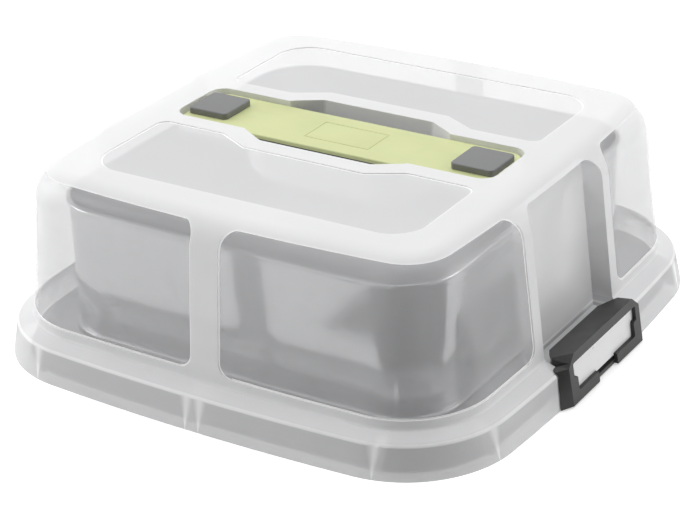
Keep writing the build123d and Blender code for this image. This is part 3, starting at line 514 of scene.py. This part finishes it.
@dataclass(frozen=True)
class SheetSteel:
    """Rolled steel sheet, with fine lines along the roll and a faint waviness.

    The lines are given by their features to the metre along each axis, the waves by theirs along all of them,
    and their heights are in metres.
    """

    name: str
    colour: Colour
    roughness: float
    lines: Spot = (60.0, 60.0, 2400.0)
    line_share: float = 0.9
    line_height: float = 0.004 * MM
    line_shown: float = 0.5
    roughness_shares: Span = (0.8, 1.25)
    waves: float = 18.0
    wave_height: float = 0.05 * MM
    wave_shown: float = 0.3

    def make(self) -> bpy.types.Material:
        """Make the material.

        Returns:
            The material.
        """
        recipe = Recipe(self.name)
        recipe.constant(Metallic=1.0)
        lines = recipe.noise(1.0, roughness=0.6, place=recipe.stretched(self.lines))
        recipe.feed("Base Color", recipe.clouded(lines, self.colour, self.line_share))
        recipe.feed("Roughness", recipe.varied(lines, self.roughness, self.roughness_shares))
        recipe.bump(lines, self.line_height, self.line_shown)
        recipe.bump(recipe.noise(self.waves, detail=1.0), self.wave_height, self.wave_shown)
        return recipe.material


FROSTED = Translucent("frosted_plastic", (0.88, 0.882, 0.888), 0.9, 0.42, 1500.0, 0.04 * MM, 0.32)
CLEAR = Translucent("clear_panel_plastic", (0.76, 0.763, 0.772), 0.42, 0.2, 900.0, 0.002 * MM)
# painted light: the top panels are the clear plastic made paler and hazier, for the light falling on them
# from above
WINDOW = Translucent("top_window_plastic_painted_light", (0.86, 0.862, 0.87), 0.74, 0.34, 900.0, 0.002 * MM, 0.32)
INSIDE = Translucent("inner_face_plastic", (0.84, 0.842, 0.848), 0.1, 0.35, 900.0, 0.002 * MM)
RECESS = Translucent("recess_plastic", (0.91, 0.912, 0.918), 0.78, 0.36, 900.0, 0.002 * MM)
# painted shade: the skirt is the frosted plastic made darker, for the shade on it from the dark table in
# front
SKIRT_PAINTED_LIGHT = RibbedPlastic("skirt_plastic_painted_light", (0.68, 0.682, 0.69), 0.84, 0.5, 1300.0, 0.11 * MM, 0.4)
THICK = Translucent("thick_plastic", (0.95, 0.95, 0.95), 0.97, 0.4, 900.0, 0.01 * MM)
# painted highlight: a flat white strip round each clear panel stands for the light caught by its edge
EDGE = Translucent("panel_edge_highlight", (1.0, 1.0, 1.0), 1.0, 0.3, 900.0, 0.002 * MM)
COVER_FINISHES = (FROSTED, CLEAR, INSIDE, RECESS, WINDOW, SKIRT_PAINTED_LIGHT, THICK, EDGE)  # in the order of Skin
DARK_GREY = MouldedPlastic("dark_grey_plastic", (0.085, 0.088, 0.085), 0.42)
CLIP_GREY = MouldedPlastic("clip_grey_plastic", (0.026, 0.027, 0.025), 0.5)
CAP_GREY = MouldedPlastic("cap_grey_plastic", (0.185, 0.188, 0.188), 0.4)
LIME = MouldedPlastic("lime_strap_plastic", (0.655, 0.695, 0.355), 0.45, 1600.0, 0.015 * MM)
WHITE = MouldedPlastic("white_insert_plastic", (0.97, 0.97, 0.97), 0.3)
BRIGHT_STEEL = SheetSteel("bright_ring_steel", (0.62, 0.622, 0.63), 0.16)
BASE_STEEL = SheetSteel("grey_base_steel", (0.44, 0.44, 0.45), 0.4, (40.0, 2400.0, 40.0))
LATCH_STEEL = SheetSteel("latch_steel", (0.6, 0.6, 0.61), 0.28, (120.0, 120.0, 3000.0))
PIN_STEEL = SheetSteel("pin_steel", (0.58, 0.58, 0.58), 0.3, (200.0, 200.0, 200.0))


def dress(piece: bpy.types.Object, *materials: bpy.types.Material) -> None:
    """Give a piece its materials, one to a slot.

    Args:
        piece: The object to dress.
        *materials: The materials in slot order.
    """
    piece.data.materials.clear()
    for material in materials:
        piece.data.materials.append(material)
    LOG.info("%s is dressed", piece.name)


def dress_solid(node: str, material: bpy.types.Material) -> None:
    """Give a solid that stays in view its material.

    Args:
        node: The solid's node name.
        material: The material.
    """
    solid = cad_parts[node]
    if not solid.material_slots:
        solid.data.materials.append(material)
    for slot in solid.material_slots:
        slot.link = "OBJECT"
        slot.material = material
    LOG.info("%s is dressed", node)


@dataclass
class Cover:
    """The translucent moulding, with clear panels let into its frosted faces.

    Half widths and offsets are from the object's middle, and heights are from its foot. The wall of the
    recess above each clip lies between the X of its head and the X of its foot. A facing is how much of a
    face's normal has to lie along an axis, or may at most, from 0 to 1.
    """

    nodes: tuple[str, ...] = ("cover_skirt", "cover_shoulder", "cover_walls", "cover_top")
    recess_half: float = 40.2 * MM
    recess_foot: float = 132.8 * MM
    recess_head: float = 123.0 * MM
    rim_top: float = 0.8 * MM
    rim_facing: float = 0.7
    notch_half: float = 15.4 * MM
    notch_top: float = 11.2 * MM
    notch_facing: float = 0.3
    stud_offset: float = 86.0 * MM
    stud_radius: float = 5.6 * MM
    stud_facing: float = 0.5
    panel_edge: float = math.radians(35.0)
    highlight_rim: float = 0.9 * MM
    window_low: float = 108.8 * MM
    skirt_top: float = 22.8 * MM
    seam_face: float = 0.5 * MM ** 2
    seam_facing: float = 0.999
    rib_spots: tuple[float, ...] = (-107.0 * MM, -4.2 * MM, 4.2 * MM, 107.0 * MM)
    rib_half: float = 1.4 * MM
    side_facing: float = 0.9
    side_seed: Spot = (95.0 * MM, 139.0 * MM, 60.0 * MM)
    top_seed: Spot = (0.0, 75.0 * MM, 110.0 * MM)
    shaded_angle: float = math.radians(30.0)

    def build(self) -> None:
        """Join the cover's solids, give each face its finish and paint a highlight round each panel's edge.
        """
        piece = self.join()
        dress(piece, *(finish.make() for finish in COVER_FINISHES))
        mesh = bmesh.new()
        mesh.from_mesh(piece.data)
        mesh.faces.ensure_lookup_table()
        top = max(mesh.faces, key=lambda face: face.calc_center_median().z)
        outside = spread(top, lambda edge, face: not self.is_border(face))
        panels = self.panels(mesh, outside)
        LOG.info("cover: %d faces, %d outside, %d on panels", len(mesh.faces), len(outside), len(panels))
        for face in mesh.faces:
            face.material_index = self.skin_of(face, outside, panels).value
        # a flat strip of painted highlight round each panel's edge
        highlight_rims = bmesh.ops.inset_region(
            mesh, faces=[mesh.faces[index] for index in panels], thickness=self.highlight_rim,
            use_boundary=True, use_even_offset=True,
        )
        for face in highlight_rims["faces"]:
            face.material_index = Skin.EDGE.value
        mesh.to_mesh(piece.data)
        mesh.free()
        smooth(piece, self.shaded_angle)
        piece.visible_shadow = False  # the milky plastic lets the lamps' light through to the pan
        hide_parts(*self.nodes)
        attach(piece, "cover")

    def join(self) -> bpy.types.Object:
        """Make one closed moulding of copies of the cover's solids.

        Returns:
            The moulding.
        """
        piece, *others = (copy_of_solid(node, f"{node}_part") for node in self.nodes)
        for other in others:
            unite(piece, other)
        piece.name = "cover_moulding"
        return piece

    def is_border(self, face: bmesh.types.BMFace) -> bool:
        """Return whether a face joins the moulding's outside to its inside.

        Args:
            face: The face.

        Returns:
            Whether it is under the rim, in a clip's notch or in a stud's hole.
        """
        centre, normal = face.calc_center_median(), face.normal
        under_rim = centre.z < self.rim_top and normal.z < -self.rim_facing
        in_notch = (
            abs(centre.x) > self.recess_foot and abs(centre.y) < self.notch_half and centre.z < self.notch_top
            and abs(normal.x) < self.notch_facing
        )
        off = Vector((abs(centre.x) - self.stud_offset, centre.y))
        in_stud_hole = off.length < self.stud_radius and abs(normal.z) < self.stud_facing
        return under_rim or in_notch or in_stud_hole

    def panels(self, mesh: bmesh.types.BMesh, outside: set[int]) -> set[int]:
        """Find the clear panels, each spread from a seed on it as far as its step.

        Args:
            mesh: The moulding's mesh.
            outside: The indices of the faces on the moulding's outside.

        Returns:
            The indices of the panels' faces.
        """
        spots = [
            Vector((x * across, y * along, up))
            for across, along, up in (self.side_seed, self.top_seed)
            for x in (-1, 1) for y in (-1, 1)
        ]
        faces = [mesh.faces[index] for index in outside]
        found: set[int] = set()
        for spot in spots:
            seed = min(faces, key=lambda face: (face.calc_center_median() - spot).length)
            found |= spread(
                seed,
                lambda edge, face: edge.calc_face_angle(math.pi) < self.panel_edge and face.index in outside,
            )
        return found | {face.index for face in faces if self.is_seam_face(face, found)}

    def is_seam_face(self, face: bmesh.types.BMFace, panels: set[int]) -> bool:
        """Return whether a face is one of the hair-thin ones that the union leaves across a panel."""
        thin = abs(face.normal.z) > self.seam_facing and face.calc_area() < self.seam_face
        return thin and any(other.index in panels for edge in face.edges for other in edge.link_faces)

    def is_rib(self, face: bmesh.types.BMFace, centre: Vector) -> bool:
        """Return whether a face inside the skirt is on the flat side of a rib.

        Args:
            face: The face.
            centre: Its middle.

        Returns:
            Whether it is on a rib.
        """
        axes = ((centre.x, face.normal.x), (centre.y, face.normal.y))
        places = [place for place, facing in axes if abs(facing) > self.side_facing]
        return centre.z < self.skirt_top and any(
            abs(place - spot) < self.rib_half for place in places for spot in self.rib_spots
        )

    def skin_of(self, face: bmesh.types.BMFace, outside: set[int], panels: set[int]) -> Skin:
        """Return the finish of one face of the moulding.

        Args:
            face: The face.
            outside: The indices of the faces on the moulding's outside.
            panels: The indices of the clear panels' faces.

        Returns:
            The finish.
        """
        centre = face.calc_center_median()
        if face.index not in outside:
            return Skin.THICK if self.is_rib(face, centre) else Skin.INSIDE
        if face.index in panels:
            # the top panels get the copy with painted light from above
            return Skin.WINDOW if centre.z > self.window_low else Skin.CLEAR
        # the skirt's faces get the plastic with painted shade, painted light and a painted highlight
        if centre.z < self.skirt_top:
            return Skin.SKIRT_PAINTED_LIGHT
        faces_side = abs(face.normal.x) > self.side_facing and abs(centre.y) < self.recess_half
        in_recess = faces_side and self.recess_head < abs(centre.x) < self.recess_foot
        return Skin.RECESS if in_recess else Skin.FROSTED


@dataclass
class Handle:
    """The lime strap over its dark bar, held by a square cap at each end."""

    strap_edge: float = 0.7 * MM
    bar_edge: float = 0.5 * MM
    cap_edge: float = 0.8 * MM

    def build(self) -> None:
        """Round and dress the strap, the bar and the caps."""
        self.rounded("handle_strap", "lime_strap", self.strap_edge, LIME.make())
        self.rounded("handle_core", "handle_bar", self.bar_edge, DARK_GREY.make())
        caps = CAP_GREY.make()
        for side in Side:
            self.rounded(f"end_cap_{side.value}", f"cap_{side.value}", self.cap_edge, caps)

    def rounded(self, node: str, name: str, edge: float, material: bpy.types.Material) -> None:
        """Stand a rounded and dressed copy in for one of the handle's solids.

        Args:
            node: The solid's node name.
            name: The copy's name.
            edge: The edges' radius, in metres.
            material: The copy's material.
        """
        piece = rounded_copy(node, name, edge)
        dress(piece, material)
        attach(piece, "cover")


@dataclass
class Clip:
    """A hinged side clip with its window insert and its pin."""

    side: Side

    def build(self, shell: bpy.types.Material, insert: bpy.types.Material, pin: bpy.types.Material) -> None:
        """Dress the clip's pieces.

        Args:
            shell: The clip's own material.
            insert: The material of the plate in its window.
            pin: The material of its hinge pin.
        """
        dress_solid(f"clip_{self.side.value}", shell)
        dress_solid(f"clip_insert_{self.side.value}", insert)
        dress_solid(f"clip_pin_{self.side.value}", pin)


@dataclass
class Pan:
    """The serving base and the ring with its seam and latch."""

    base: tuple[str, ...] = ("base_plate",)
    ring: tuple[str, ...] = ("pan_ring", "seam_tongue")
    latch: tuple[str, ...] = ("latch_bracket", "latch_lever", "latch_bail", "catch_plate")
    pins: tuple[str, ...] = ("bracket_rivets", "catch_rivets", "latch_pin")

    def build(self) -> None:
        """Dress the steel pieces."""
        steels = (
            (BASE_STEEL, self.base),
            (BRIGHT_STEEL, self.ring),
            (LATCH_STEEL, self.latch),
            (PIN_STEEL, self.pins),
        )
        for steel, nodes in steels:
            material = steel.make()
            for node in nodes:
                dress_solid(node, material)


@dataclass(frozen=True)
class Flag:
    """A dark card that lies beside the object's near corner, where only reflections show it.

    Its place is its middle on the floor. Its place, length and width are in metres, and its turn about the
    vertical is in degrees.
    """

    name: str
    place: Span
    size: Span
    turn: float
    height: float = 2.0 * MM
    grey: float = 0.02

    def lay(self) -> None:
        """Lay the card."""
        deselect_everything()
        bpy.ops.mesh.primitive_plane_add(size=1.0, location=(*self.place, self.height))
        card = bpy.context.object
        card.name = self.name
        card.scale = (*self.size, 1.0)
        card.rotation_euler.z = math.radians(self.turn)
        card.visible_camera = card.visible_diffuse = card.visible_shadow = card.visible_transmission = False
        recipe = Recipe(f"{self.name}_black")
        recipe.constant(Base_Color=(self.grey, self.grey, self.grey, 1.0), Specular_IOR_Level=0.0)
        card.data.materials.append(recipe.material)


@dataclass(frozen=True)
class Lamp:
    """A square soft light that faces the object, with its place and side in metres and its power in watts."""

    name: str
    place: Spot
    size: float
    power: float
    aim: Spot = (0.0, 0.0, 0.05)

    def hang(self) -> None:
        """Hang the light."""
        data = bpy.data.lights.new(self.name, "AREA")
        data.shape = "SQUARE"
        data.size = self.size
        data.energy = self.power
        lamp = bpy.data.objects.new(self.name, data)
        bpy.context.scene.collection.objects.link(lamp)
        towards = Vector(self.aim) - Vector(self.place)
        turn = towards.to_track_quat("-Z", "Y").to_matrix().to_4x4()
        lamp.matrix_world = Matrix.Translation(self.place) @ turn


@dataclass
class Studio:
    """The pale floor, the soft lights, the dark cards that the steel mirrors, and the camera.

    Lengths are in metres, apart from the lens and its sensor in millimetres, and angles are in degrees. The
    levels of sky, card and floor glow are strengths of light, of which 1 shows as white.
    """

    camera_place: Spot = (0.6033, -0.9227, 0.5717)
    azimuth: float = 33.18
    elevation: float = 25.42
    roll: float = -2.28
    focal: float = 110.92
    sensor: float = 36.0
    shift: Span = (-0.0010, -0.0425)
    far_clip: float = 50.0
    sky: float = 0.48
    card_towards: Spot = (0.72, -0.66, 0.2)
    card_span: Span = (0.35, 0.92)
    card_level: float = 0.05
    floor_radius: float = 4.0
    floor_grey: float = 0.9
    floor_roughness: float = 0.9
    floor_glow: float = 0.45
    flags: tuple[Flag, ...] = (
        Flag("front_flag", (0.25, -0.375), (0.5, 0.33), 0.0),
        Flag("corner_flag", (0.31, -0.27), (0.36, 0.44), 45.0),
    )
    lamps: tuple[Lamp, ...] = (
        Lamp("top_softbox", (-0.3, 0.5, 2.2), 1.6, 25.5),
        Lamp("left_softbox", (-2.0, -0.8, 1.0), 1.4, 21.0),
        Lamp("right_softbox", (2.0, 1.1, 0.9), 1.2, 16.0),
    )

    def build(self) -> None:
        """Set the whole studio."""
        bpy.context.scene.view_settings.view_transform = "Standard"
        self.camera()
        self.world()
        self.floor()
        for flag in self.flags:
            flag.lay()
        for lamp in self.lamps:
            lamp.hang()
        LOG.info("studio: %d cards, %d lamps", len(self.flags), len(self.lamps))

    def camera(self) -> None:
        """Place the camera where the photograph was taken from."""
        azimuth, elevation = math.radians(self.azimuth), math.radians(self.elevation)
        roll = math.radians(self.roll)
        back = Vector((
            math.sin(azimuth) * math.cos(elevation),
            -math.cos(azimuth) * math.cos(elevation),
            math.sin(elevation),
        ))
        level = Vector((math.cos(azimuth), math.sin(azimuth), 0.0))
        rise = back.cross(level)
        right = level * math.cos(roll) + rise * math.sin(roll)
        up = rise * math.cos(roll) - level * math.sin(roll)
        bpy.ops.object.camera_add(location=self.camera_place)
        camera = bpy.context.object
        camera.name = "camera"
        turn = Matrix((right, up, back)).transposed()
        camera.matrix_world = Matrix.Translation(self.camera_place) @ turn.to_4x4()
        camera.data.lens = self.focal
        camera.data.sensor_width = self.sensor
        camera.data.shift_x, camera.data.shift_y = self.shift
        camera.data.clip_end = self.far_clip
        bpy.context.scene.camera = camera

    def seen(self, nodes: Nodes) -> bpy.types.NodeSocket:
        """Return 1 for rays that the camera, a gloss or a see-through surface sends, and else 0.

        Args:
            nodes: The node tree to work in.

        Returns:
            The value's socket.
        """
        path = nodes.tree.nodes.new("ShaderNodeLightPath")
        total = path.outputs["Is Camera Ray"]
        for name in ("Is Glossy Ray", "Is Transmission Ray"):
            total = nodes.maths("MAXIMUM", total, path.outputs[name])
        return total

    def world(self) -> None:
        """Make the surroundings a soft light that shows as white, with a dim card to the front right."""
        world = bpy.data.worlds.new("surroundings")
        bpy.context.scene.world = world
        world.use_nodes = True
        nodes = Nodes(world.node_tree)
        tree = nodes.tree
        level = nodes.carried(self.seen(nodes), (0.0, 1.0), (self.sky, 1.0))
        towards = tree.nodes.new("ShaderNodeVectorMath")
        towards.operation = "DOT_PRODUCT"
        towards.inputs[1].default_value = Vector(self.card_towards).normalized()
        tree.links.new(tree.nodes.new("ShaderNodeTexCoord").outputs["Generated"], towards.inputs[0])
        card = nodes.carried(towards.outputs["Value"], self.card_span, (1.0, self.card_level), eased=True)
        from_camera = tree.nodes.new("ShaderNodeLightPath").outputs["Is Camera Ray"]
        strength = nodes.maths("MAXIMUM", nodes.maths("MULTIPLY", level, card), from_camera)
        background = tree.nodes["Background"]
        background.inputs["Color"].default_value = (1.0, 1.0, 1.0, 1.0)
        tree.links.new(strength, background.inputs["Strength"])

    def floor(self) -> None:
        """Lay a pale floor that keeps the object's shadow."""
        deselect_everything()
        bpy.ops.mesh.primitive_circle_add(
            vertices=96, radius=self.floor_radius, fill_type="NGON", location=(0.0, 0.0, 0.0),
        )
        floor = bpy.context.object
        floor.name = "floor"
        recipe = Recipe("pale_floor")
        recipe.constant(
            Base_Color=(self.floor_grey, self.floor_grey, self.floor_grey, 1.0),
            Roughness=self.floor_roughness, Specular_IOR_Level=0.0, Emission_Color=(1.0, 1.0, 1.0, 1.0),
        )
        glow = recipe.carried(self.seen(recipe), (0.0, 1.0), (0.0, self.floor_glow))
        recipe.feed("Emission Strength", glow)
        floor.data.materials.append(recipe.material)


def main() -> None:
    """Build the studio and every sub-assembly in order."""
    Studio().build()
    Cover().build()
    Handle().build()
    shell, insert, pin = CLIP_GREY.make(), WHITE.make(), PIN_STEEL.make()
    for side in Side:
        Clip(side).build(shell, insert, pin)
    Pan().build()


if __name__ == "__main__":
    logging.basicConfig(level=logging.INFO)
    main()
